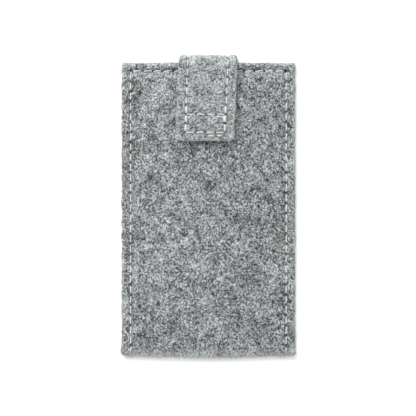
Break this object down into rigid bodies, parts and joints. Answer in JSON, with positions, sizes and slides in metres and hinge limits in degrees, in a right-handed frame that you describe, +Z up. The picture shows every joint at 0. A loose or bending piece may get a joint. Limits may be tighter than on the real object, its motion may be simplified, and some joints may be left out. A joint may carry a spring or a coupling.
{
  "type": "soft pouch glasses case",
  "caption": "Flat grey felt pouch for glasses, folded at the bottom and sewn at the sides, with a stitched felt strap that closes over the mouth with hook and loop.",
  "frame": {"origin": "centre of the footprint on the surface that the case lies on, back face down", "axes": "+X across the case, +Y from the bottom fold to the mouth, +Z up out of the front face"},
  "size_m": [0.095, 0.1644, 0.0165],
  "materials": {
    "pouch_felt": "matte mottled grey wool felt",
    "strap_felt": "matte mottled grey wool felt",
    "thread": "off-white twisted thread",
    "loop_tape": "matte dark brushed loop pile",
    "hook_tape": "satin dark nylon hooks"
  },
  "bodies": {
    "pouch": {"pouch_body": "pouch_felt", "strap_anchor": "strap_felt", "loop_patch": "loop_tape", "left_side_needle_thread": "thread", "left_side_bobbin_thread": "thread", "right_side_needle_thread": "thread", "right_side_bobbin_thread": "thread", "front_mouth_needle_thread": "thread", "front_mouth_bobbin_thread": "thread", "back_mouth_needle_thread": "thread", "back_mouth_bobbin_thread": "thread", "anchor_box_needle_thread": "thread", "anchor_box_bobbin_thread": "thread", "anchor_edge_needle_thread": "thread", "anchor_edge_bobbin_thread": "thread", "loop_patch_needle_thread": "thread", "loop_patch_bobbin_thread": "thread"},
    "bridge": {"strap_bridge": "strap_felt", "bridge_edge_needle_thread": "thread", "bridge_edge_bobbin_thread": "thread"},
    "tab": {"strap_tab": "strap_felt", "hook_patch": "hook_tape", "tab_edge_needle_thread": "thread", "tab_edge_bobbin_thread": "thread", "hook_patch_needle_thread": "thread", "hook_patch_bobbin_thread": "thread"}
  },
  "joints": [
    {"name": "back_fold", "type": "hinge", "parent": "pouch", "child": "bridge", "pos_m": [0, 0.08041, 0.00169], "axis": [-1, 0, 0], "range_deg": [0, 80]},
    {"name": "front_fold", "type": "hinge", "parent": "bridge", "child": "tab", "pos_m": [0, 0.08041, 0.01231], "axis": [-1, 0, 0], "range_deg": [0, 90]}
  ]
}
